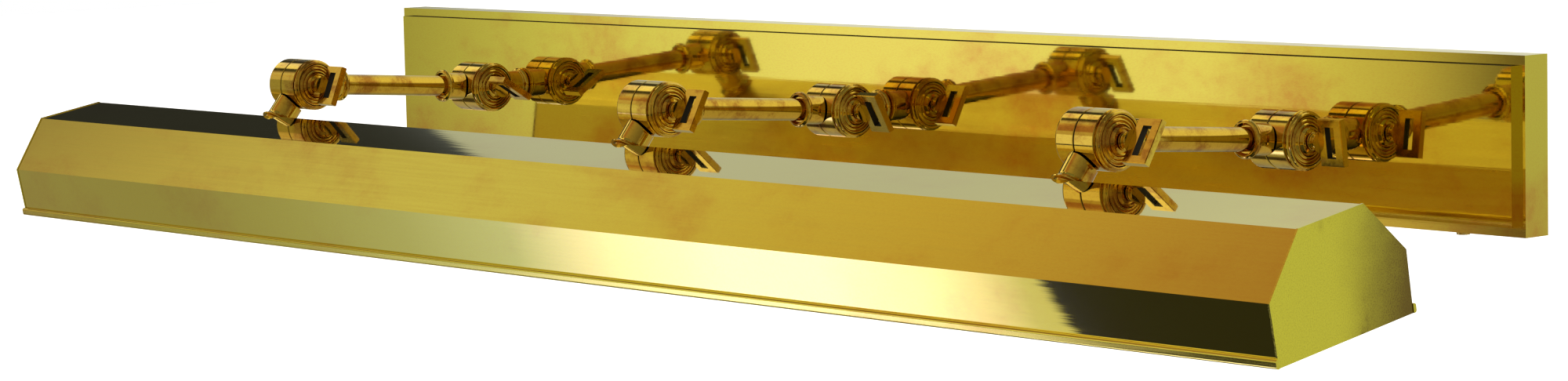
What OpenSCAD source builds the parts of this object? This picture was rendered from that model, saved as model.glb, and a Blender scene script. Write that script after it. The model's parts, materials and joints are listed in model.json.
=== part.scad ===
// Three-arm swivelling picture light: long folded shade, three jointed arms, long wall box.
// X runs along the light, +Y into the wall, +Z up. The origin is on the wall, at the
// middle of the wall box.

/* [Wall box] */
// Length of the wall box
box_length = 1067; // [1040:1:1090]
// Height of the wall box
box_height = 101.6; // [98:0.2:106]
// Depth of the wall box at its ledge
box_depth = 19.5; // [18:0.5:21]
// How far the front panel stands proud of the ledge
panel_raise = 5; // [4:0.5:6]
// Width of the ledge around the front panel
ledge_width = 5.8; // [5:0.2:7]
// Sheet thickness of the wall box
box_sheet = 1.2; // [1:0.1:1.4]

/* [Arms] */
// Distance between neighbouring arms
arm_spacing = 389; // [380:1:392]
// Distance from the rear knuckle axis to the front knuckle axis
arm_length = 152.5; // [140:0.5:165]
// Rise of the arms above horizontal at rest
arm_rise = 4.2; // [3:0.1:6]
// Distance from the front panel to the rear knuckle axis
stem_length = 33.5; // [33:0.5:36]
// Outer radius of the arm tube
tube_radius = 7.15; // [6.8:0.05:7.3]

/* [Knuckles] */
// Radius of the knuckle drum
drum_radius = 17.3; // [17.1:0.1:17.6]
// Length of the left half of the drum
left_half_length = 14.4; // [14:0.1:15]
// Length of the right half of the drum
right_half_length = 14.6; // [14:0.1:15]
// Outer radius of the pipes
pipe_radius = 9.55; // [9.3:0.05:9.7]
// Distance of the wall pipes from the joint plane
stem_offset = 5.5; // [5:0.1:6]
// Distance from a knuckle axis to the mouth of an arm's socket
socket_mouth = 34; // [33:0.5:35]
// Radius of the clamping spindle
spindle_radius = 3; // [2.8:0.1:3.2]

/* [Keys] */
// Length of the key plate
key_length = 27.3; // [25:0.1:28]
// Width of the key plate
key_width = 17.4; // [16:0.1:18]
// Thickness of the key plate
key_thickness = 4.4; // [4:0.2:5]
// Turn of the three rear keys at rest, from left to right
rear_key_turns = [58, 27.5, 7.6];
// Turn of the three front keys at rest, from left to right
front_key_turns = [-21.8, -28.2, -31.1];

/* [Shade] */
// Length of the shade over its end caps
shade_length = 1219; // [1180:1:1240]
// Width of the flat top panel
top_width = 49; // [47:0.5:51]
// Width across the side bends
bend_width = 103.6; // [102:0.2:106]
// Width at the open bottom
mouth_width = 102; // [100:0.2:104]
// Height of the slanted upper panels
upper_height = 31.2; // [30:0.2:33]
// Height of the lower panels
lower_height = 33.6; // [32:0.2:36]
// Sheet thickness of the shade
shade_sheet = 1.2; // [1:0.1:1.4]
// Tilt of the shade toward the wall at rest
shade_tilt = 10; // [6:0.5:14]
// Distance of the swivel stubs from the rear top bend, down the panel
stub_drop = 11; // [10.5:0.1:14]
// Length of the swivel stubs, from the knuckle axis to the panel
stub_length = 34.5; // [34:0.5:36]

/* [Lamps] */
// Number of tubular lamps
lamp_count = 4; // [4:1:4]
// Radius of a lamp's glass
lamp_radius = 16; // [14:0.5:16]
// Length of a lamp's glass beyond its holder
lamp_length = 118; // [100:1:130]
// Height of the lamp axis above the shade's mouth
lamp_height = 28; // [26:0.5:29]

/* [Hidden] */
$fn = 96;
tiny = 0.01;
slack = 0.08;
wire_radius = 1.3;
wire_shift = 2.1;

// Wall box, worked out
panel_y = -box_depth - panel_raise;
panel_inner_y = panel_y + box_sheet;
plate_sheet = 2;
bracket_height = box_height - 2 * box_sheet - 2;
bracket_length = box_length - 20;
flange_depth = 16;
cover_screw_x = [-480, -160, 160, 480];
cover_screw_y = -9;
lug_x = [-420, 0, 420];
lug_y = -12;
nipple_radius = 5;
nut_height = 4;
washer_height = 1.2;
nipple_reach = 9;

// Arms and knuckles, worked out
arm_x = [-arm_spacing, 0, arm_spacing];
rear_y = panel_y - stem_length;
front_y = rear_y - arm_length * cos(arm_rise);
front_z = arm_length * sin(arm_rise);
pipe_bore = 4.8;
drum_wall = 3.2;
hub_radius = 5.2;
// Faces of the two halves, either side of the joint plane, and the washer between them
left_face = -0.6;
right_face = 0.3;
washer_thickness = 0.6;
saddle_gap = 1;
drum_back = left_face - left_half_length;
cap_start = right_face + right_half_length;
cap_end = cap_start + 8.4;
key_start = cap_end + 0.3;
plate_start = key_start + 5;
slot_length = 18.2;
slot_width = 6.6;
socket_depth = 10;

// Shade outline, worked out: mouth, bend and top corners on the rear side
mouth_point = [mouth_width / 2, 0];
bend_point = [bend_width / 2, lower_height];
top_point = [top_width / 2, lower_height + upper_height];
upper_run = norm(bend_point - top_point);
down_panel = (bend_point - top_point) / upper_run;
panel_normal = [-down_panel[1], down_panel[0]];
foot_point = top_point + stub_drop * down_panel;
axis_point = foot_point + stub_length * panel_normal;
stub_turn = atan2(panel_normal[0], -panel_normal[1]);
axis_turned = [axis_point[0] * cos(shade_tilt) - axis_point[1] * sin(shade_tilt),
    axis_point[0] * sin(shade_tilt) + axis_point[1] * cos(shade_tilt)];
shade_y = front_y - axis_turned[0];
shade_z = front_z - axis_turned[1];
bead_height = 5;
bead_proud = 2.6;
lamp_pitch = shade_length / lamp_count;
holder_length = 46;
holder_radius = 17;
bus_height = 57;

// ---------- helpers ----------

function arc(centre, radius, from, to, steps = 6) =
    [for (i = [0:steps]) centre + radius * [cos(from + (to - from) * i / steps),
        sin(from + (to - from) * i / steps)]];

// Point of a panel line moved inward: where two neighbouring offset lines cross
function corner(a, b, c, inset) =
    let (u = (b - a) / norm(b - a), v = (c - b) / norm(c - b),
        n = [u[1], -u[0]], m = [v[1], -v[0]])
    b + inset * (n + m) / (1 + n * m);

module along_x() {
    rotate([0, 90, 0]) children();
}

// Solid of revolution about X, from a profile of [radius, x] points
module turned(profile) {
    rotate([90, 0, 90]) rotate_extrude() polygon(profile);
}

module at_rear(k) {
    translate([arm_x[k], rear_y, 0]) children();
}

module at_front(k) {
    translate([arm_x[k], front_y, front_z]) children();
}

module in_shade() {
    translate([0, shade_y, shade_z]) rotate([shade_tilt, 0, 0]) children();
}

module at_shade_axis(k) {
    in_shade() translate([arm_x[k], axis_point[0], axis_point[1]]) children();
}

// Pipe frame: +Z runs out along a pipe, at the given offset from the joint plane
module pipe_frame(turn, offset = 0) {
    translate([offset, 0, 0]) rotate([turn, 0, 0]) children();
}

module ring(outer, inner, height) {
    difference() {
        cylinder(r = outer, h = height);
        translate([0, 0, -1]) cylinder(r = inner, h = height + 2);
    }
}

module hex_nut(flats, bore, height) {
    difference() {
        cylinder(r = flats / 2 / cos(30), h = height, $fn = 6);
        translate([0, 0, -1]) cylinder(r = bore, h = height + 2);
    }
}

module wire(points) {
    for (i = [0:len(points) - 2]) {
        step = points[i + 1] - points[i];
        translate(points[i])
            rotate([0, acos(step[2] / norm(step)), atan2(step[1], step[0])])
                cylinder(r = wire_radius, h = norm(step), $fn = 16);
    }
    for (i = [1:1:len(points) - 2]) translate(points[i]) sphere(r = wire_radius, $fn = 16);
}

// ---------- knuckle parts, in the knuckle's own frame ----------

// Left half: closed cup with rounded back edge and a blind hub for the spindle
module left_half_body() {
    turned(concat([[0, drum_back]],
        arc([drum_radius - 1.6, drum_back + 1.6], 1.6, -90, 0),
        [[drum_radius, left_face - 0.3], [drum_radius - 0.3, left_face],
        [drum_radius - drum_wall, left_face], [drum_radius - drum_wall, drum_back + 2.5],
        [hub_radius, drum_back + 2.5], [hub_radius, left_face],
        [spindle_radius + slack, left_face], [spindle_radius + slack, drum_back + 2],
        [0, drum_back + 2]]));
}

// Right half: cup that opens to the left, with a hub that the spindle runs through
module right_half_body() {
    turned([[spindle_radius + slack, right_face], [hub_radius, right_face],
        [hub_radius, cap_start - 2.2], [drum_radius - drum_wall, cap_start - 2.2],
        [drum_radius - drum_wall, right_face], [drum_radius - 0.3, right_face],
        [drum_radius, right_face + 0.3], [drum_radius, cap_start - 0.4],
        [drum_radius - 0.4, cap_start], [spindle_radius + slack, cap_start]]);
}

// Pipe that leaves a drum wall, up to the given profile of its outer end
module pipe_solid(outer_end) {
    rotate_extrude() polygon(concat([[0, 14.2], [pipe_radius, 14.2]], outer_end));
}

// Rolled collar at the mouth of an arm's socket
function collar_end(mouth) = concat(
    [[pipe_radius, mouth - 5.4]],
    arc([pipe_radius + 0.95, mouth - 5.4], 0.95, 180, 90, 3),
    arc([pipe_radius - 0.1, mouth - 2.3], 1.95, -60, 90, 8),
    [[tube_radius + 2.2, mouth - 0.2], [tube_radius + 0.9, mouth - 2.2],
    [tube_radius + 0.5, mouth - 2.2], [0, mouth - 2.2]]);

// Flat-faced rolled collar that seats on the wall box
function seat_end(mouth) = concat(
    [[pipe_radius, mouth - 5.4]],
    arc([pipe_radius + 0.95, mouth - 5.4], 0.95, 180, 90, 3),
    arc([pipe_radius - 0.1, mouth - 2.3], 1.95, -60, 90, 8),
    [[0, mouth]]);

// Flared foot: a thin flange a little above the shade, on a short neck
function foot_end(mouth) = concat(
    [[pipe_radius, mouth - 6.3]],
    arc([pipe_radius + 3.4, mouth - 6.3], 3.4, 180, 110, 5),
    [[pipe_radius + 2.65, mouth - 2.7], [pipe_radius + 2.65, mouth - 2.1],
    [pipe_radius + 1, mouth - 1.5], [pipe_radius + 0.7, mouth], [0, mouth]]);

// Hole along a pipe, with a wider seat for what is fitted into its mouth
module pipe_bore_cut(turn, mouth, seat_depth, seat_radius, offset = 0) {
    pipe_frame(turn, offset) {
        translate([0, 0, 10]) cylinder(r = pipe_bore, h = 30);
        translate([0, 0, mouth - seat_depth]) cylinder(r = seat_radius + 0.03, h = 30);
    }
}

// A half with its pipe. The pipe reaches across both halves and clears the other one.
module left_half(turn, outer_end, mouth, seat_depth, seat_radius) {
    difference() {
        union() {
            left_half_body();
            difference() {
                pipe_frame(turn) pipe_solid(outer_end);
                translate([left_face, 0, 0]) along_x()
                    cylinder(r = drum_radius + saddle_gap, h = 12);
            }
        }
        pipe_bore_cut(turn, mouth, seat_depth, seat_radius);
    }
}

module right_half(turn, outer_end, mouth, seat_depth, seat_radius, offset = 0) {
    difference() {
        union() {
            right_half_body();
            difference() {
                pipe_frame(turn, offset) pipe_solid(outer_end);
                translate([right_face - 12, 0, 0]) along_x()
                    cylinder(r = drum_radius + saddle_gap, h = 12);
            }
        }
        pipe_bore_cut(turn, mouth, seat_depth, seat_radius, offset);
    }
}

// Turned cap: recessed neck, twin-bead rim and a dished face with four rising rings
module knuckle_cap() {
    rim = drum_radius;
    ring_radius = [13.7, 11.6, 9.5, 7.4];
    ring_x = [4.2, 4.4, 5.1, 6.9];
    turned(concat(
        [[spindle_radius + slack, cap_start], [rim - 1.3, cap_start], [rim - 1.3, cap_start + 1.2]],
        arc([rim - 0.65, cap_start + 2.1], 0.65, -120, 60, 5),
        [[rim - 0.95, cap_start + 2.95]],
        arc([rim - 1.9, cap_start + 3.9], 0.95, -40, 150, 8),
        [[rim - 2.75, cap_start + 2.9]],
        [for (i = [0:3]) for (p = concat(
            arc([ring_radius[i], cap_start + ring_x[i] - 0.4], 0.4, 0, 180, 4),
            [[ring_radius[i] - 0.4, cap_start + ring_x[i] - 1.1]])) p],
        [[5.4, cap_start + 6.3]],
        arc([5, cap_start + 8], 0.4, 0, 90, 3),
        [[spindle_radius + slack, cap_end]]));
}

module friction_washer(start) {
    translate([start, 0, 0]) along_x()
        ring(drum_radius - 0.5, drum_radius - drum_wall + 0.2, washer_thickness);
}

// Clamping key: slotted flat plate on a trumpet-shaped neck and a long spindle
module clamp_key(turn) {
    edge = 0.4;
    rotate([turn, 0, 0]) {
        turned(concat(
            [[0, drum_back + 2.4], [spindle_radius, drum_back + 2.4],
            [spindle_radius, key_start]],
            arc([4.6, key_start + 0.5], 0.5, -90, 90, 4),
            [[3.9, key_start + 1.3]],
            arc([6.9, key_start + 1.6], 3.1, 180, 100, 8),
            [[6.7, plate_start - 0.2], [6.7, plate_start + 0.1], [2.1, plate_start + 0.5],
            [0, plate_start + 0.5]]));
        difference() {
            translate([plate_start, -key_thickness / 2 + edge, -key_length / 2])
                cube([key_width, key_thickness - 2 * edge, key_length]);
            key_slot();
        }
        for (side = [-1, 1]) difference() {
            translate([plate_start + edge, side > 0 ? key_thickness / 2 - edge
                : -key_thickness / 2, -key_length / 2 + edge])
                cube([key_width - 2 * edge, edge, key_length - 2 * edge]);
            key_slot();
        }
    }
}

module key_slot() {
    translate([plate_start + (key_width - slot_width) / 2, -key_thickness, -slot_length / 2])
        cube([slot_width, 2 * key_thickness, slot_length]);
}

// ---------- wall box ----------

// Sides of the wall box with the ledge around its front
module cover_frame() {
    window = 2 * (ledge_width + 3);
    color("darkgoldenrod") difference() {
        box_block(box_length, box_depth, box_height);
        translate([0, tiny, 0]) box_block(box_length - 2 * box_sheet,
            box_depth - box_sheet + tiny, box_height - 2 * box_sheet);
        box_block(box_length - window, box_depth + 1, box_height - window);
        for (x = cover_screw_x) translate([x, cover_screw_y, -box_height / 2 - 1])
            cylinder(r = 2.2, h = 4);
    }
}

// Raised front panel: a shallow tray that sits on the ledge
module cover_panel() {
    length = box_length - 2 * ledge_width;
    height = box_height - 2 * ledge_width;
    color("darkgoldenrod") difference() {
        translate([0, -box_depth, 0]) box_block(length, panel_raise, height);
        translate([0, -box_depth + tiny, 0]) box_block(length - 2 * box_sheet,
            panel_raise - box_sheet + tiny, height - 2 * box_sheet);
        for (x = arm_x) translate([x + stem_offset, panel_y - 1, 0]) rotate([-90, 0, 0])
            cylinder(r = nipple_radius + 0.2, h = 4);
    }
}

module box_block(length, depth, height) {
    translate([-length / 2, -depth, -height / 2]) cube([length, depth, height]);
}

module wall_plate() {
    color("gainsboro") difference() {
        box_block(bracket_length, plate_sheet, bracket_height);
        rotate([90, 0, 0]) translate([0, 0, -1]) cylinder(r = 11, h = 5);
        for (x = [-400, 400], z = [-30, 30]) wall_slot(x, z, 12, 2.5);
        for (x = [-44.45, 44.45]) wall_slot(x, 0, 10, 2.2);
        translate([62, 1, 25]) rotate([90, 0, 0]) cylinder(r = 2.02, h = 5);
    }
}

// Rails along the plate's edges: the cover hooks on the upper one and screws to the lower one
module rail(side) {
    half = bracket_height / 2;
    color("gainsboro") difference() {
        translate([-bracket_length / 2, -flange_depth, side > 0 ? half - plate_sheet : -half])
            cube([bracket_length, flange_depth - plate_sheet, plate_sheet]);
        if (side > 0)
            for (x = lug_x) translate([x - 9, lug_y - 1.5, half - 4]) cube([18, 3, 6]);
        else
            for (x = cover_screw_x) translate([x, cover_screw_y, -half - 1])
                cylinder(r = 2.04, h = 5);
    }
}

module wall_slot(x, z, length, radius) {
    run = length / 2 - radius;
    translate([x, 1, z]) rotate([90, 0, 0]) {
        for (side = [-run, run]) translate([side, 0, 0]) cylinder(r = radius, h = 5);
        translate([-run, -radius, 0]) cube([2 * run, 2 * radius, 5]);
    }
}

module cover_lugs() {
    color("darkgoldenrod") for (x = lug_x)
        translate([x - 8, lug_y - 1, box_height / 2 - box_sheet - 9]) cube([16, 2, 9]);
}

module cover_screws() {
    color("goldenrod") for (x = cover_screw_x)
        translate([x, cover_screw_y, -box_height / 2]) {
            difference() {
                translate([0, 0, -2.2]) cylinder(r = 3.8, h = 2.2);
                translate([-5, -0.5, -3.2]) cube([10, 1, 2]);
            }
            cylinder(r = 2, h = 9);
        }
}

module at_stem(y) {
    for (x = arm_x) translate([x + stem_offset, y, 0]) rotate([-90, 0, 0]) children();
}

module reinforcing_plates() {
    color("silver") difference() {
        for (x = arm_x) translate([x + stem_offset - 35, panel_inner_y, -35])
            cube([70, plate_sheet, 70]);
        at_stem(panel_inner_y - 1) cylinder(r = nipple_radius + 0.2, h = 5);
    }
}

module stem_washers() {
    color("silver") at_stem(panel_inner_y + plate_sheet)
        ring(9.5, nipple_radius + 0.1, washer_height);
}

module stem_locknuts() {
    color("gold") at_stem(panel_inner_y + plate_sheet + washer_height)
        hex_nut(14, nipple_radius + 0.02, nut_height);
}

module stem_nipples() {
    color("khaki") at_stem(panel_y - nipple_reach)
        ring(nipple_radius, 3.6, nipple_reach + 12);
}

module terminal_block() {
    color("ivory") difference() {
        translate([-79, -16, -9]) cube([34, 14, 18]);
        for (x = [-73, -62, -51], z = [-5, 5]) translate([x, -17, z]) rotate([-90, 0, 0])
            cylinder(r = 2, h = 6);
        for (x = [-73, -62, -51]) translate([x, -8, -10]) cylinder(r = 1.6, h = 20);
    }
}

module terminal_screws() {
    color("silver") for (x = [-73, -62, -51], z = [-5, 5])
        translate([x, -15, z]) rotate([-90, 0, 0]) difference() {
            cylinder(r = 1.9, h = 4);
            translate([-3, -0.3, -1]) cube([6, 0.6, 1.7]);
        }
}

module earth_stud() {
    color("goldenrod") translate([62, -2, 25]) rotate([90, 0, 0]) {
        translate([0, 0, -2]) cylinder(r = 2, h = 14);
        ring(4.5, 2, 0.8);
        translate([0, 0, 0.8]) hex_nut(7, 2, 3.2);
    }
}

module cable_grommet() {
    color("dimgray") rotate([90, 0, 0]) {
        ring(11, 8, plate_sheet);
        translate([0, 0, plate_sheet]) ring(13.5, 8, 1.6);
    }
}

module backplate_wiring() {
    start_x = [-73, -62, -51];
    color("firebrick") for (k = [0:2]) {
        x = arm_x[k] + stem_offset;
        run_z = 22 + 6 * k;
        wire([[start_x[k], -8, 4], [start_x[k], -8, run_z], [x, -8, run_z], [x, -8, 0],
            [x, rear_y + 8, 0]]);
    }
}

// ---------- rear knuckles ----------

module wall_knuckle(k) {
    color("peru") at_rear(k)
        right_half(-90, seat_end(stem_length), stem_length, nipple_reach + 1, nipple_radius,
            stem_offset);
}

module rear_caps() {
    color("goldenrod") for (k = [0:2]) at_rear(k) knuckle_cap();
}

// ---------- arms ----------

module arm_tube(k) {
    inset = socket_mouth - socket_depth + tiny;
    color("chocolate") at_rear(k) pipe_frame(90 - arm_rise) translate([0, 0, inset])
        ring(tube_radius, 5.9, arm_length - 2 * inset);
}

module arm_rear_half(k) {
    color("peru") at_rear(k) left_half(90 - arm_rise, collar_end(socket_mouth), socket_mouth,
        socket_depth, tube_radius);
}

module arm_front_half(k) {
    color("peru") at_front(k) right_half(-90 - arm_rise, collar_end(socket_mouth), socket_mouth,
        socket_depth, tube_radius);
}

module friction_washers() {
    color("dimgray") for (k = [0:2]) {
        at_rear(k) friction_washer(left_face);
        at_front(k) friction_washer(right_face - washer_thickness);
    }
}

// Two wires per arm, from the left side of the rear drum to the right side of the front one
module arm_wiring() {
    color("firebrick") for (k = [0:2]) at_rear(k) pipe_frame(90 - arm_rise)
        for (side = [-1.5, 1.5]) wire([[-2.9, side, 8], [2.9, side, arm_length - 8]]);
}

module rear_key(k) {
    color("goldenrod") at_rear(k) clamp_key(rear_key_turns[k]);
}

module front_key(k) {
    color("goldenrod") at_front(k) clamp_key(front_key_turns[k]);
}

// ---------- shade ----------

module shade_knuckle(k) {
    color("peru") at_shade_axis(k)
        left_half(stub_turn, foot_end(stub_length), stub_length, nipple_reach + 1, nipple_radius);
}

module front_caps() {
    color("goldenrod") for (k = [0:2]) at_front(k) knuckle_cap();
}

module at_stub(distance) {
    for (k = [0:2]) at_shade_axis(k) pipe_frame(stub_turn)
        translate([0, 0, distance]) children();
}

module shade_nipples() {
    color("khaki") at_stub(stub_length - nipple_reach)
        ring(nipple_radius, 3.6, nipple_reach + 9.5);
}

module shade_washers() {
    color("silver") at_stub(stub_length + shade_sheet)
        ring(9, nipple_radius + 0.1, washer_height);
}

module shade_locknuts() {
    color("gold") at_stub(stub_length + shade_sheet + washer_height)
        hex_nut(14, nipple_radius + 0.02, nut_height);
}

// Shade outline from the front mouth corner over the top to the rear one, inset by a gap
function shade_outline(inset) =
    let (rear = [mouth_point, bend_point, top_point],
        low = (mouth_point - bend_point) / lower_height,
        side = [-low[1], low[0]] * -inset,
        mouth = mouth_point - [inset, 0],
        bend = corner(top_point, bend_point, mouth_point, inset),
        top = corner([-top_point[0], top_point[1]], top_point, bend_point, inset))
    [[-mouth[0], 0], [-bend[0], bend[1]], [-top[0], top[1]], top, bend, mouth];

module shade_prism(outline, length) {
    rotate([90, 0, 90]) linear_extrude(height = length, center = true) polygon(outline);
}

module shade_shell() {
    outer = shade_outline(0);
    inner = shade_outline(shade_sheet);
    section = concat(outer, [for (i = [5:-1:0]) inner[i]]);
    color("darkgoldenrod") difference() {
        in_shade() shade_prism(section, shade_length - 2 * shade_sheet);
        at_stub(stub_length - 2) cylinder(r = nipple_radius + 0.2, h = 6);
    }
}

module end_cap(side) {
    proud = -0.4;
    color("goldenrod") in_shade()
        translate([side * (shade_length - shade_sheet) / 2, 0, 0])
            shade_prism(shade_outline(proud), shade_sheet);
}

// Rolled bead along a mouth edge, as a rounded strip on the outside of the lower panel
module bead(side) {
    lean = atan2(bend_point[0] - mouth_point[0], lower_height);
    round_edge = bead_proud / 2;
    profile = concat([[0, 0]], arc([bead_proud - round_edge, round_edge], round_edge, -90, 0, 6),
        arc([bead_proud - round_edge, bead_height - round_edge], round_edge, 0, 90, 6),
        [[0.4, bead_height], [0, bead_height - 0.4]]);
    color("goldenrod") in_shade() translate([0, side * mouth_point[0], 0])
        mirror([0, side < 0 ? 1 : 0, 0]) rotate([-lean, 0, 0]) difference() {
            shade_prism(profile, shade_length + 1);
            for (end = [-1, 1]) translate([end * (shade_length / 2 + 0.2) - 1.2, -1, -1])
                cube([2.4, 1.45, bead_height + 2]);
        }
}

// White reflector of three flat strips that meet in mitres
reflector_sheet = 0.8;
reflector_edge = [45, 24];
reflector_top_point = [16, 52];
reflector_mitre = corner([-reflector_top_point[0], reflector_top_point[1]],
    reflector_top_point, reflector_edge, reflector_sheet);

module reflector_top() {
    outer = reflector_top_point;
    inner = reflector_mitre;
    color("whitesmoke") in_shade() difference() {
        shade_prism([[-outer[0], outer[1]], outer, inner, [-inner[0], inner[1]]],
            shade_length - 2 * shade_sheet);
        for (i = [1:lamp_count]) translate([holder_x(i) - 9, -12, 48]) cube([10, 24, 8]);
    }
}

module reflector_side(side) {
    run = (reflector_edge - reflector_top_point) / norm(reflector_edge - reflector_top_point);
    section = [reflector_top_point, reflector_edge,
        reflector_edge + reflector_sheet * [run[1], -run[0]], reflector_mitre];
    color("whitesmoke") in_shade() mirror([0, side < 0 ? 1 : 0, 0])
        shade_prism(section, shade_length - 2 * shade_sheet);
}

function holder_x(i) = (i - (lamp_count + 1) / 2) * lamp_pitch - 85;

module at_lamp(i) {
    in_shade() translate([holder_x(i), 0, lamp_height]) children();
}

module lampholder(i) {
    color("dimgray") at_lamp(i) difference() {
        turned([[0, 0], [holder_radius - 3, 0], [holder_radius - 2, 4], [holder_radius, 7],
            [holder_radius, holder_length - 1], [holder_radius - 1, holder_length],
            [13.4, holder_length], [13.4, 16], [0, 16]]);
        translate([-1, 0, 0]) along_x() cylinder(r = 3, h = 20);
        for (y = [-7, 7]) translate([-1, y, 0]) along_x() cylinder(r = 1.55, h = 12);
    }
}

module lampholder_brackets() {
    top = lower_height + upper_height - shade_sheet - lamp_height;
    color("silver") for (i = [1:lamp_count]) at_lamp(i) difference() {
        union() {
            translate([-1.5, -11, -14]) cube([1.5, 22, top + 14]);
            translate([-14, -11, top - 1.5]) cube([14, 22, 1.5]);
        }
        translate([-3, 0, 0]) along_x() cylinder(r = 3, h = 6);
        translate([-3, 0, bus_height - lamp_height]) along_x() cylinder(r = 2.5, h = 6);
        for (y = [-7, 7]) translate([-3, y, 0]) along_x() cylinder(r = 1.6, h = 6);
    }
}

module lampholder_screws() {
    color("gainsboro") for (i = [1:lamp_count], y = [-7, 7])
        at_lamp(i) translate([0, y, 0]) turned([[0, -3], [2.2, -3], [2.8, -2.4], [2.8, -1.5],
            [1.5, -1.5], [1.5, 9], [0, 9]]);
}

// Hollow tubular lamp: narrow neck in its metal cap, straight tube and a domed end
module lamp_glass(i) {
    neck = 12.2;
    wall = 0.8;
    end_x = holder_length + lamp_length;
    color("white") at_lamp(i) turned(concat(
        [[neck - wall, holder_length - 6], [neck, holder_length - 6], [neck, holder_length + 2],
        [lamp_radius, holder_length + 14]],
        arc([0, end_x - lamp_radius], lamp_radius, 0, 90, 12),
        arc([0, end_x - lamp_radius], lamp_radius - wall, 90, 0, 12),
        [[lamp_radius - wall, holder_length + 14], [neck - wall, holder_length + 2]]));
}

module lamp_caps() {
    color("gold") for (i = [1:lamp_count]) at_lamp(i) turned([[0, 16.5], [4, 16.5],
        [5, 18], [12, 22], [13.2, 24], [13.2, holder_length + 1], [12.2, holder_length + 1],
        [12.2, holder_length - 6], [0, holder_length - 6]]);
}

module shade_wiring() {
    bend_in = axis_point - (stub_length + 11) * panel_normal;
    under_top = bend_in - 12 * down_panel;
    color("firebrick") in_shade() {
        wire([[holder_x(1) - 5, 0, bus_height], [arm_x[2] + 20, 0, bus_height]]);
        for (k = [0:2]) {
            x = arm_x[k] - wire_shift;
            start = axis_point - 8 * panel_normal;
            wire([[x, start[0], start[1]], [x, bend_in[0], bend_in[1]],
                [x, under_top[0], under_top[1]], [x, 0, bus_height]]);
        }
        for (i = [1:lamp_count]) wire([[holder_x(i) - 5, 0, bus_height],
            [holder_x(i) - 5, 0, lamp_height], [holder_x(i) + 12, 0, lamp_height]]);
    }
}

cover_frame();
cover_panel();
wall_plate();
rail(1);  // upper_rail
rail(-1);  // lower_rail
cover_lugs();
cover_screws();
reinforcing_plates();
stem_nipples();
stem_washers();
stem_locknuts();
terminal_block();
terminal_screws();
earth_stud();
cable_grommet();
backplate_wiring();
wall_knuckle(0);  // wall_knuckle_left
wall_knuckle(1);  // wall_knuckle_middle
wall_knuckle(2);  // wall_knuckle_right
rear_caps();
arm_tube(0);  // arm_tube_left
arm_tube(1);  // arm_tube_middle
arm_tube(2);  // arm_tube_right
arm_rear_half(0);  // arm_rear_half_left
arm_rear_half(1);  // arm_rear_half_middle
arm_rear_half(2);  // arm_rear_half_right
arm_front_half(0);  // arm_front_half_left
arm_front_half(1);  // arm_front_half_middle
arm_front_half(2);  // arm_front_half_right
friction_washers();
arm_wiring();
rear_key(0);  // rear_key_left
rear_key(1);  // rear_key_middle
rear_key(2);  // rear_key_right
front_key(0);  // front_key_left
front_key(1);  // front_key_middle
front_key(2);  // front_key_right
shade_knuckle(0);  // shade_knuckle_left
shade_knuckle(1);  // shade_knuckle_middle
shade_knuckle(2);  // shade_knuckle_right
front_caps();
shade_nipples();
shade_washers();
shade_locknuts();
shade_shell();
end_cap(-1);  // end_cap_left
end_cap(1);  // end_cap_right
bead(-1);  // front_bead
bead(1);  // rear_bead
reflector_top();
reflector_side(-1);  // reflector_front
reflector_side(1);  // reflector_rear
lampholder(1);  // lampholder_1
lampholder(2);  // lampholder_2
lampholder(3);  // lampholder_3
lampholder(4);  // lampholder_4
lampholder_brackets();
lampholder_screws();
lamp_glass(1);  // lamp_glass_1
lamp_glass(2);  // lamp_glass_2
lamp_glass(3);  // lamp_glass_3
lamp_glass(4);  // lamp_glass_4
lamp_caps();
shade_wiring();
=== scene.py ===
"""Looks of the three-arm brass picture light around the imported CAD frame.

Materials, rounded edges, studio light, floor and camera."""
import json
import math

import bpy  # noqa: E402
from mathutils import Matrix, Vector  # noqa: E402


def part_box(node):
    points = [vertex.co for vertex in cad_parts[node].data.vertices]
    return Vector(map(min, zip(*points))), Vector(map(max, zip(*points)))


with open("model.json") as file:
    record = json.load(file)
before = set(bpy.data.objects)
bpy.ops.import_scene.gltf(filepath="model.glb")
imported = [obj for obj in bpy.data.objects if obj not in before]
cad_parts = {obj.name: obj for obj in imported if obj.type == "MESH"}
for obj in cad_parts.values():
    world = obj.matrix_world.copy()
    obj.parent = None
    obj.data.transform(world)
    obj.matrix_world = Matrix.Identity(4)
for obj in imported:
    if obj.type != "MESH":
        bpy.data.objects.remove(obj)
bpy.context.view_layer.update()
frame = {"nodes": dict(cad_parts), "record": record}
nodes = frame["nodes"]
scene = bpy.context.scene
scene.view_settings.view_transform = "Standard"


# ---------- camera ----------

CAMERA_PLACE = (1.9826, -1.7956, 0.204)
CAMERA_TURNS = (49.533, 5.538, -1.31)   # degrees: yaw to the left, pitch down, roll
LENS = 93.93                            # mm, on a sensor 36 mm wide


def add_camera():
    """Long lens from the right and a little above, as in the photograph."""
    yaw, pitch, roll = (math.radians(turn) for turn in CAMERA_TURNS)
    forward = Vector((-math.sin(yaw) * math.cos(pitch), math.cos(yaw) * math.cos(pitch),
                      -math.sin(pitch)))
    level = Vector((math.cos(yaw), math.sin(yaw), 0))
    above = level.cross(forward)
    right = math.cos(roll) * level + math.sin(roll) * above
    up = math.cos(roll) * above - math.sin(roll) * level
    data = bpy.data.cameras.new("camera")
    data.sensor_width = 36
    data.lens = LENS
    data.clip_start = 0.05
    data.clip_end = 60
    camera = bpy.data.objects.new("camera", data)
    axes = Matrix((right, up, -forward)).transposed()
    camera.matrix_world = Matrix.Translation(CAMERA_PLACE) @ axes.to_4x4()
    scene.collection.objects.link(camera)
    scene.camera = camera


# ---------- node helpers ----------

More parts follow.
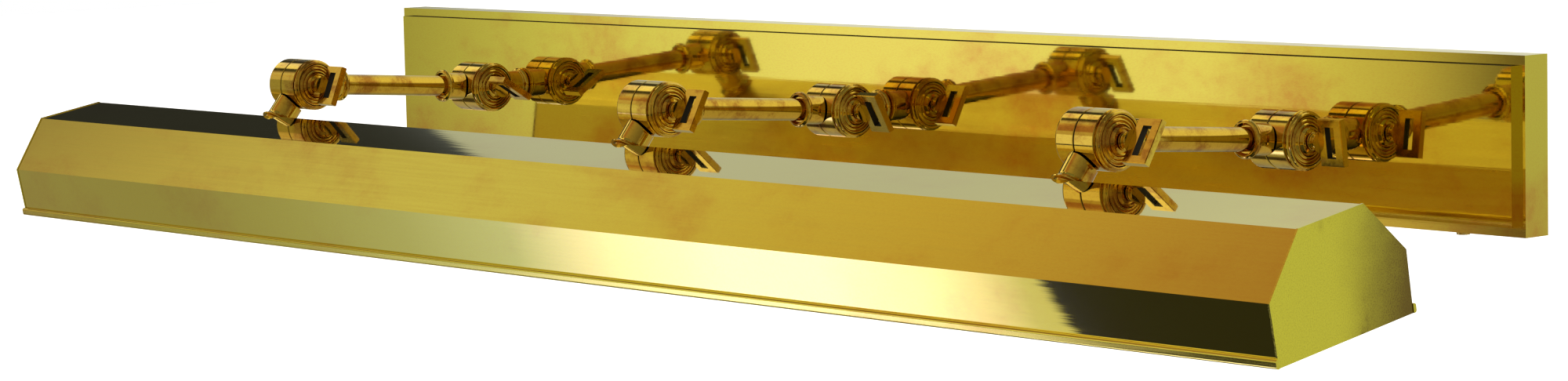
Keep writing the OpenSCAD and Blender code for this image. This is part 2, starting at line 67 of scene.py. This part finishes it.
class Nodes:
    """A thin wrapper that adds shader nodes and links their sockets."""

    def __init__(self, tree):
        self.tree = tree
        tree.nodes.clear()

    def add(self, kind, **settings):
        """Adds a node of the kind and sets the properties given."""
        made = self.tree.nodes.new(kind)
        for name, value in settings.items():
            setattr(made, name, value)
        return made

    def join(self, source, target):
        """Links an output socket to an input socket."""
        self.tree.links.new(source, target)

    def feed(self, socket, value):
        """Links value to the socket if it is a socket itself, or sets it as the socket's own value."""
        if isinstance(value, bpy.types.NodeSocket):
            self.join(value, socket)
        else:
            socket.default_value = value

    def math(self, operation, *values, clamp=False):
        """Math node over values that are sockets or numbers."""
        made = self.add("ShaderNodeMath", operation=operation, use_clamp=clamp)
        for socket, value in zip(made.inputs, values):
            self.feed(socket, value)
        return made.outputs[0]

    def ramp(self, value, low, high, to_low=0.0, to_high=1.0):
        """Smooth step of value from to_low at low to to_high at high."""
        made = self.add("ShaderNodeMapRange", interpolation_type="SMOOTHSTEP")
        self.feed(made.inputs["Value"], value)
        made.inputs["From Min"].default_value = low
        made.inputs["From Max"].default_value = high
        made.inputs["To Min"].default_value = to_low
        made.inputs["To Max"].default_value = to_high
        return made.outputs["Result"]

    def mix(self, factor, a, b):
        """Colour from a at factor 0 to b at factor 1."""
        made = self.add("ShaderNodeMix", data_type="RGBA")
        self.feed(made.inputs["Factor"], factor)
        self.feed(made.inputs["A"], a)
        self.feed(made.inputs["B"], b)
        return made.outputs["Result"]

    def noise(self, coords, stretch, scale, detail=3.0, rough=0.55):
        """Noise over coordinates scaled by stretch along X, Y and Z."""
        mapping = self.add("ShaderNodeMapping")
        mapping.inputs["Scale"].default_value = stretch
        self.join(coords, mapping.inputs["Vector"])
        made = self.add("ShaderNodeTexNoise")
        made.inputs["Scale"].default_value = scale
        made.inputs["Detail"].default_value = detail
        made.inputs["Roughness"].default_value = rough
        self.join(mapping.outputs[0], made.inputs["Vector"])
        return made.outputs["Fac"]


def rgba(color):
    """An opaque colour."""
    return (*color, 1.0)


# ---------- materials ----------

CLOUD_SHARE = 0.8               # most patina that the clouds, speckle and fine grain each give
SPECKLE_SHARE = 0.35
GRAIN_SHARE = 0.22
SPECKLE_FINENESS = 14           # speckles to a cloud's width
GRAIN_SCALE = 420.0
FADE_WAVE = 0.5                 # how far the clouds move a fade, as a share of its length
NOISE_RANGE = (0.3, 0.7)        # most of a noise lies between these
MOTTLE_COARSENESS = 0.2         # scale of plain's mottling, as a share of its grain's scale
BRASS_ROUGH_SPREAD = 0.2        # how far roughness varies, as a share of itself
PLAIN_ROUGH_SPREAD = 0.15
PATINA_ROUGHNESS = 0.35         # how much rougher full patina is, as a share of the roughness
COAT_ROUGHNESS = 0.06
BRUSH_BUMP = (0.12, 0.00004)    # strength, and depth in metres
MOULD_BUMP = (0.3, 0.00005)


def start_material(name):
    """A new material with its net of nodes, its object coordinates and its shader."""
    material = bpy.data.materials.new(name)
    material.use_nodes = True
    net = Nodes(material.node_tree)
    coords = net.add("ShaderNodeTexCoord").outputs["Object"]
    return material, net, coords, net.add("ShaderNodeBsdfPrincipled")


def finish_material(net, shader, height, strength, depth):
    """Adds a bump from height and links the shader to the output."""
    bump = net.add("ShaderNodeBump")
    bump.inputs["Strength"].default_value = strength
    bump.inputs["Distance"].default_value = depth
    net.join(height, bump.inputs["Height"])
    net.join(bump.outputs[0], shader.inputs["Normal"])
    net.join(shader.outputs[0], net.add("ShaderNodeOutputMaterial").inputs["Surface"])


def patina_and_shade_amount(net, coords, cover, clouds, blotch, fade):
    """Share of the patina colour: cloudy cover, speckle inside it, fine grain, and a fade along one
    axis (painted shade on the end caps).
    """
    fine = net.noise(coords, (1, 1, 1), blotch * SPECKLE_FINENESS, 4.0, 0.6)
    speckle = net.ramp(fine, 0.45, 0.7, 0.0, SPECKLE_SHARE)
    amount = net.math("ADD", net.math("MULTIPLY", cover, CLOUD_SHARE),
                      net.math("MULTIPLY", speckle, cover), clamp=True)
    grain = net.noise(coords, (1, 3, 3), GRAIN_SCALE, 2.0, 0.6)
    amount = net.math("ADD", amount, net.ramp(grain, 0.4, 0.75, 0.0, GRAIN_SHARE), clamp=True)
    if fade:
        axis, start, end, share = fade
        place = net.add("ShaderNodeSeparateXYZ")
        net.join(coords, place.inputs[0])
        wavy = net.math("MULTIPLY_ADD", clouds, abs(end - start) * FADE_WAVE, place.outputs[axis])
        amount = net.math("ADD", amount, net.ramp(wavy, start, end, 0.0, share), clamp=True)
    return amount


def brass(name, tint, patina, rough, stretch=(1, 60, 60), streak=12.0, coverage=(0.48, 0.72),
          blotch=9.0, coat=0.35, anisotropy=0.0, fade=None):
    """Lacquered brass: fine brushing along the long axis of stretch, with cloudy darker patina.

    fade is (axis, start, end, share): more of the patina colour from start to end along the part's X,
    Y or Z; on the end caps this is painted shade."""
    material, net, coords, shader = start_material(name)
    clouds = net.noise(coords, (1, 1.6, 1.6), blotch, 5.0, 0.6)
    brushed = net.noise(coords, stretch, streak, 2.0, 0.5)
    cover = net.ramp(clouds, *coverage)
    amount = patina_and_shade_amount(net, coords, cover, clouds, blotch, fade)
    net.join(net.mix(amount, rgba(tint), rgba(patina)), shader.inputs["Base Color"])
    shader.inputs["Metallic"].default_value = 1.0
    spread = rough * BRASS_ROUGH_SPREAD
    roughness = net.math("ADD", net.ramp(brushed, *NOISE_RANGE, rough - spread, rough + spread),
                         net.math("MULTIPLY", cover, rough * PATINA_ROUGHNESS))
    net.join(roughness, shader.inputs["Roughness"])
    shader.inputs["Coat Weight"].default_value = coat
    shader.inputs["Coat Roughness"].default_value = COAT_ROUGHNESS
    shader.inputs["Anisotropic"].default_value = anisotropy
    finish_material(net, shader, brushed, *BRUSH_BUMP)
    return material


def plain(name, color, rough, metallic=0.0, grain=180.0, variation=0.12, **sockets):
    """A simple material with slight mottling of colour and roughness and a fine bump."""
    material, net, coords, shader = start_material(name)
    clouds = net.noise(coords, (1, 1, 1), grain * MOTTLE_COARSENESS, 4.0)
    fine = net.noise(coords, (1, 1, 1), grain, 3.0)
    darker = tuple(c * (1 - variation) for c in color)
    mottled = net.mix(net.ramp(clouds, 0.35, 0.65), rgba(color), rgba(darker))
    net.join(mottled, shader.inputs["Base Color"])
    spread = rough * PLAIN_ROUGH_SPREAD
    roughness = net.ramp(clouds, *NOISE_RANGE, rough - spread, rough + spread)
    net.join(roughness, shader.inputs["Roughness"])
    shader.inputs["Metallic"].default_value = metallic
    for socket, value in sockets.items():
        shader.inputs[socket.replace("_", " ")].default_value = value
    finish_material(net, shader, fine, *MOULD_BUMP)
    return material


def make_materials():
    """One material for each of the record's slots.

    Four more are for some of the shade's panels, its end caps, and the painted shade in the keys'
    slots and on the panel's steps."""
    return {
        "shade_brass": brass("shade_brass", (0.78, 0.64, 0.065), (0.72, 0.48, 0.045), 0.10,
                             anisotropy=0.3),
        "polished_shade": brass("polished_shade", (0.78, 0.64, 0.07), (0.74, 0.54, 0.06), 0.012,
                                stretch=(1, 25, 25), coat=0.5),
        "dull_shade": brass("dull_shade", (0.90, 0.72, 0.22), (0.80, 0.50, 0.12), 0.34),
        # end caps: cloudy patina, plus painted shade that darkens them toward the wall along Y
        "end_cap_brass": brass("end_cap_brass", (0.84, 0.72, 0.065), (0.20, 0.12, 0.015), 0.12,
                               fade=("Y", -0.25, -0.185, 1.0), coverage=(0.6, 0.85), blotch=14.0),
        # wall box: cloudy patina, and browner and darker toward the bottom along Z
        "wall_box_brass": brass("wall_box_brass", (0.82, 0.68, 0.09), (0.72, 0.40, 0.06), 0.035,
                                fade=("Z", 0.03, -0.05, 0.5)),
        "arm_brass": brass("arm_brass", (0.74, 0.50, 0.06), (0.40, 0.17, 0.02), 0.08, (1, 1, 1), 400.0,
                           coverage=(0.44, 0.68), blotch=45.0, coat=0.1),
        "key_brass": brass("key_brass", (0.80, 0.55, 0.07), (0.50, 0.25, 0.035), 0.12, (1, 1, 1),
                           500.0, coverage=(0.52, 0.72), blotch=60.0, coat=0.1),
        # near-black painted shade for the keys' slots and the raised panel's returns
        "painted_crevice_shade": plain("painted_crevice_shade", (0.020, 0.014, 0.006), 0.75, 0.0, 400.0),
        "plain_brass": brass("plain_brass", (0.80, 0.60, 0.22), (0.60, 0.40, 0.14), 0.25, (1, 1, 1),
                             500.0, blotch=60.0, coat=0.0),
        "zinc_steel": plain("zinc_steel", (0.62, 0.63, 0.65), 0.32, 1.0, 260.0),
        "white_reflector": plain("white_reflector", (0.86, 0.86, 0.83), 0.25, Coat_Weight=0.4),
        "porcelain": plain("porcelain", (0.86, 0.84, 0.78), 0.12, Coat_Weight=0.6),
        "terminal_plastic": plain("terminal_plastic", (0.80, 0.79, 0.72), 0.35),
        "rubber": plain("rubber", (0.03, 0.03, 0.03), 0.6, grain=700.0),
        "opal_glass": plain("opal_glass", (0.93, 0.92, 0.88), 0.12, variation=0.02,
                            Coat_Weight=0.5),
        "wire_insulation": plain("wire_insulation", (0.42, 0.05, 0.04), 0.45),
        "fibre": plain("fibre", (0.07, 0.05, 0.04), 0.8, grain=900.0),
    }


# ---------- CAD pieces ----------

KEY_WIDTH = 0.0174              # metres, as are the slot's reach and the edges' widths
SLOT_REACH = (0.0036, 0.0105)   # half width of the slot, and its half length, each with a margin
FINE_EDGE = 0.0003
SHADE_EDGE = 0.0004
SHARP_ANGLE = 28                # degrees between faces that stay sharp
EDGE_ANGLE = 40                 # degrees between faces whose edge is rounded
FOLD_ANGLE = 20                 # the same on the shade, whose folds are shallow
FACING = 0.9                    # part of a face's normal along an axis when it faces that way
REARWARD = 0.3                  # the same for the shade's sloping rear panels
ACROSS = 0.5                    # less than this along the plate's normal: a wall across the plate


def smooth(piece):
    """Smooth shading with sharp edges where faces meet at more than the sharp angle."""
    for face in piece.data.polygons:
        face.use_smooth = True
    piece.data.set_sharp_from_angle(angle=math.radians(SHARP_ANGLE))


def soften_edges(piece, width, angle=EDGE_ANGLE):
    """Rounded sheet and plate edges, as a modifier, so that they catch thin highlights."""
    bevel = piece.modifiers.new("rounded edges", "BEVEL")
    bevel.width = width
    bevel.segments = 3
    bevel.limit_method = "ANGLE"
    bevel.angle_limit = math.radians(angle)
    bevel.harden_normals = True


def second_material(piece, material):
    """Adds a material for some of the piece's faces and returns its index."""
    piece.data.materials.append(material)
    return len(piece.data.materials) - 1


def polish_panels(piece, polished, dull):
    """Makes the shade's top and front upright panels smoother, and its rear panels duller."""
    smoother = second_material(piece, polished)
    duller = second_material(piece, dull)
    for face in piece.data.polygons:
        if face.normal.y > REARWARD:
            face.material_index = duller
        elif face.normal.z > FACING or face.normal.y < -FACING:
            face.material_index = smoother


def paint_slot_shade(piece, material):
    """Paints the walls of a key's slot near black: painted shade inside the slot."""
    painted_shade_index = second_material(piece, material)
    faces = piece.data.polygons
    plate = max(faces, key=lambda face: face.area).normal.copy()
    low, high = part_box(piece.name)
    middle = Vector((high.x - KEY_WIDTH / 2, (low.y + high.y) / 2, (low.z + high.z) / 2))
    for face in faces:
        place = piece.matrix_world @ face.center - middle
        in_slot = abs(place.x) < SLOT_REACH[0] and place.length < SLOT_REACH[1]
        if in_slot and abs(face.normal.dot(plate)) < ACROSS:
            face.material_index = painted_shade_index


def paint_step_shade(piece, material):
    """Paints the raised panel's long returns, its top and bottom faces, near black: painted shade of
    the crevice against the ledge.
    """
    painted_shade_index = second_material(piece, material)
    for face in piece.data.polygons:
        if abs(face.normal.z) > FACING:
            face.material_index = painted_shade_index


def dress_nodes(materials):
    """Gives every CAD node its material and smooth shading; the wall box's cover, the shade, its end
    caps and the keys also get rounded edges.
    """
    slots = {row["node"]: row["material_slot"] for row in frame["record"]["subparts"]}
    for name, piece in nodes.items():
        piece.data.materials.clear()
        piece.data.materials.append(materials[slots[name]])
        smooth(piece)
    # painted shade: the raised panel's top and bottom returns are painted near black, as the crevice's
    # shadow
    paint_step_shade(nodes["cover_panel"], materials["painted_crevice_shade"])
    for name in ("cover_frame", "cover_panel"):
        soften_edges(nodes[name], FINE_EDGE)
    polish_panels(nodes["shade_shell"], materials["polished_shade"], materials["dull_shade"])
    for name in ("end_cap_left", "end_cap_right"):
        nodes[name].data.materials[0] = materials["end_cap_brass"]
    for name in ("shade_shell", "end_cap_left", "end_cap_right"):
        soften_edges(nodes[name], SHADE_EDGE, FOLD_ANGLE)
    for name, piece in nodes.items():
        if "_key_" in name:
            # painted shade: the walls of each key's slot are painted near black
            paint_slot_shade(piece, materials["painted_crevice_shade"])
            soften_edges(piece, FINE_EDGE)


# ---------- studio ----------

# Bands of the studio by elevation (start, end, softness in degrees). Each has stops of azimuth,
# counted from the room side (-Y) round to the left (-X), with the light's colour there and its
# strength. A band may have a dark flag with one sharp side: (azimuth where it starts, azimuth
# where it ends at elevation 0, the end's lean per degree of elevation).
BANDS = [
    ((-75, -13, 1.5), (5, 57.05, 0.3), [
        (-180, (1.0, 0.85, 0.55), 0.5), (-120, (1.0, 0.9, 0.6), 0.45), (-60, (0.9, 0.9, 0.7), 0.25),
        (0, (0.8, 0.9, 0.7), 0.05), (10, (0.6, 0.9, 0.4), 0.3), (47, (1.0, 1.0, 1.3), 0.6),
        (50.8, (1.0, 1.03, 1.5), 0.8), (52.2, (1.0, 0.95, 2.6), 1.9), (54, (1.0, 1.03, 2.8), 2.4),
        (55.9, (1.0, 0.97, 2.6), 1.9), (57.0, (0.9, 1.05, 2.2), 0.9), (58.3, (0.95, 1.1, 1.7), 0.58),
        (60.3, (0.95, 1.03, 1.1), 0.44), (61.5, (1.0, 1.0, 0.9), 0.33), (66, (1.0, 1.0, 0.9), 0.33),
        (69, (1.0, 0.8, 0.6), 0.05), (80, (1.0, 0.8, 0.6), 0.05), (86, (1.0, 0.95, 0.75), 0.5),
        (140, (0.9, 0.95, 0.75), 0.3), (180, (1.0, 0.85, 0.55), 0.5)]),
    ((-13, 11, 1.5), None, [
        (-180, (1.0, 0.85, 0.55), 0.3), (-148, (1.0, 0.95, 0.75), 0.45), (-142, (0.95, 1.0, 0.8), 0.5),
        (-137, (0.95, 1.03, 0.8), 0.62), (-120, (1.0, 0.95, 0.7), 0.5),
        (-60, (1.0, 0.9, 0.6), 0.3), (-35, (1.0, 0.9, 0.6), 0.3), (20, (1.0, 0.8, 0.5), 0.2),
        (39.2, (1.0, 0.75, 0.5), 0.1),
        (40.2, (1.0, 0.85, 0.6), 0.5), (41.9, (1.0, 0.97, 0.65), 0.7), (43.4, (1.0, 1.0, 1.0), 0.92),
        (48.8, (1.0, 1.0, 1.1), 1.0), (52.1, (0.95, 1.0, 0.75), 0.78), (54.0, (0.95, 1.0, 0.7), 0.52),
        (55.2, (1.0, 1.0, 0.65), 0.35), (75, (1.0, 0.9, 0.6), 0.45), (95, (0.9, 1.0, 0.8), 0.1),
        (121, (0.9, 1.0, 0.8), 0.1), (130, (1.0, 1.0, 0.8), 0.7)]),
    ((11, 20, 1.5), (85, 109.9, 0.8), [
        (-180, (1.0, 0.97, 0.72), 0.7), (-120, (1.0, 0.8, 0.5), 0.3), (-60, (1.0, 0.9, 0.7), 0.25),
        (20, (1.0, 0.8, 0.5), 0.3), (50, (1.0, 0.85, 0.6), 0.6), (66, (1.0, 0.95, 0.8), 0.7),
        (85, (0.9, 1.0, 0.8), 0.35), (115, (0.92, 1.0, 0.9), 0.5), (180, (1.0, 0.97, 0.72), 0.7)]),
    ((20, 62, 1.5), None, [
        (-180, (1.0, 0.97, 0.72), 0.9), (-136, (1.0, 0.97, 0.72), 0.95), (-128, (1.0, 0.8, 0.5), 0.6),
        (-118, (1.0, 0.7, 0.4), 0.12), (-60, (1.0, 0.9, 0.7), 0.25), (20, (1.0, 0.8, 0.5), 0.4),
        (52, (1.0, 0.5, 0.35), 0.4), (57.1, (1.0, 0.56, 0.4), 0.47), (58.1, (1.0, 0.62, 0.4), 0.52),
        (60.5, (1.0, 0.72, 0.42), 0.64), (63.2, (1.0, 0.83, 0.5), 0.68), (66, (1.0, 0.98, 0.85), 0.72),
        (68, (1.0, 0.95, 0.75), 0.7), (69.6, (1.0, 0.8, 0.62), 0.55), (71, (1.0, 0.86, 0.8), 0.36),
        (74, (0.9, 0.9, 0.7), 0.06), (81, (0.9, 0.9, 0.7), 0.06), (84, (1.0, 0.98, 0.7), 1.2),
        (104, (1.0, 0.97, 0.7), 1.2), (107, (0.9, 1.0, 0.8), 0.04), (116, (0.9, 1.0, 0.8), 0.04),
        (119, (0.92, 1.0, 0.9), 0.6), (180, (1.0, 0.97, 0.72), 0.9)]),
    ((62, 91, 6), None, [
        (-180, (0.9, 1.0, 0.95), 0.25), (0, (1.0, 1.0, 0.9), 0.2), (180, (0.9, 1.0, 0.95), 0.25)]),
]
AMBIENT = (0.012, 0.012, 0.01)  # light from every direction, under the bands
FLAG_LEAK = 0.03                # share of the light that a dark flag lets through
FLAG_SOFT = 4                   # degrees each side of a flag's soft start
FLAG_SHARP = 0.1                # degrees each side of its sharp end


def flag_shadow(net, azimuth, elevation, start, end, lean):
    """1 outside a dark flag and nearly 0 inside, with a soft start and a sharp leaning end."""
    leaning = net.math("SUBTRACT", azimuth, net.math("MULTIPLY", elevation, lean))
    beyond = net.ramp(leaning, end - FLAG_SHARP, end + FLAG_SHARP, FLAG_LEAK, 1.0)
    before = net.ramp(azimuth, start - FLAG_SOFT, start + FLAG_SOFT, 1.0, 0.0)
    return net.math("MAXIMUM", beyond, before)


def band_color(net, turn, stops):
    """Light around a band, from its stops of azimuth."""
    around = net.add("ShaderNodeValToRGB")
    # A whole turn, from -pi to pi, falls on the ramp's 0 to 1, and so do the stops' degrees.
    net.join(net.math("MULTIPLY_ADD", turn, 0.5 / math.pi, 0.5), around.inputs[0])
    elements = around.color_ramp.elements
    while len(elements) < len(stops):
        elements.new(0.5)
    for element, (degrees, color, strength) in zip(elements, stops):
        element.position = degrees / 360 + 0.5
        element.color = rgba([c * strength for c in color])
    return around.outputs["Color"]


def studio_light(net):
    """Sum of the studio's bands in the direction that the world is looked up."""
    direction = net.add("ShaderNodeSeparateXYZ")
    net.join(net.add("ShaderNodeTexCoord").outputs["Generated"], direction.inputs[0])
    x, y, z = direction.outputs
    turn = net.math("ARCTAN2", net.math("MULTIPLY", x, -1.0), net.math("MULTIPLY", y, -1.0))
    azimuth = net.math("MULTIPLY", turn, 180 / math.pi)
    elevation = net.math("DEGREES", net.math("ARCSINE", z))
    total = AMBIENT
    for (low, high, soft), flag, stops in BANDS:
        inside = net.math("MULTIPLY", net.ramp(elevation, low - soft, low + soft),
                          net.ramp(elevation, high - soft, high + soft, 1.0, 0.0))
        if flag:
            inside = net.math("MULTIPLY", inside, flag_shadow(net, azimuth, elevation, *flag))
        scaled = net.add("ShaderNodeVectorMath", operation="SCALE")
        net.join(band_color(net, turn, stops), scaled.inputs[0])
        net.join(inside, scaled.inputs["Scale"])
        both = net.add("ShaderNodeVectorMath", operation="ADD")
        net.feed(both.inputs[0], total)
        net.join(scaled.outputs[0], both.inputs[1])
        total = both.outputs[0]
    return total


def add_world():
    """Studio light as soft bands of the sky. The camera itself sees plain white."""
    world = bpy.data.worlds.new("studio")
    scene.world = world
    world.use_nodes = True
    net = Nodes(world.node_tree)
    studio = net.add("ShaderNodeBackground")
    net.join(studio_light(net), studio.inputs["Color"])
    seen = net.add("ShaderNodeBackground")
    seen.inputs["Color"].default_value = (1, 1, 1, 1)
    chosen = net.add("ShaderNodeMixShader")
    net.join(net.add("ShaderNodeLightPath").outputs["Is Camera Ray"], chosen.inputs["Fac"])
    net.join(studio.outputs[0], chosen.inputs[1])
    net.join(seen.outputs[0], chosen.inputs[2])
    net.join(chosen.outputs[0], net.add("ShaderNodeOutputWorld").inputs["Surface"])


FLOOR_SIZE = 60                 # metres
FLOOR_HEIGHT = -1.6


def add_floor():
    """Plain pale floor well below the light. Reflections and shading come from the bands alone."""
    bpy.ops.mesh.primitive_plane_add(size=FLOOR_SIZE, location=(0, 0, FLOOR_HEIGHT))
    floor = bpy.context.object
    floor.name = "floor"
    floor.visible_glossy = False
    floor.visible_diffuse = False
    pale = plain("pale_floor", (0.95, 0.95, 0.95), 0.7, grain=3.0, variation=0.02,
                 Emission_Color=(1, 1, 1, 1), Emission_Strength=1.0)
    floor.data.materials.append(pale)


add_camera()
dress_nodes(make_materials())
add_world()
add_floor()
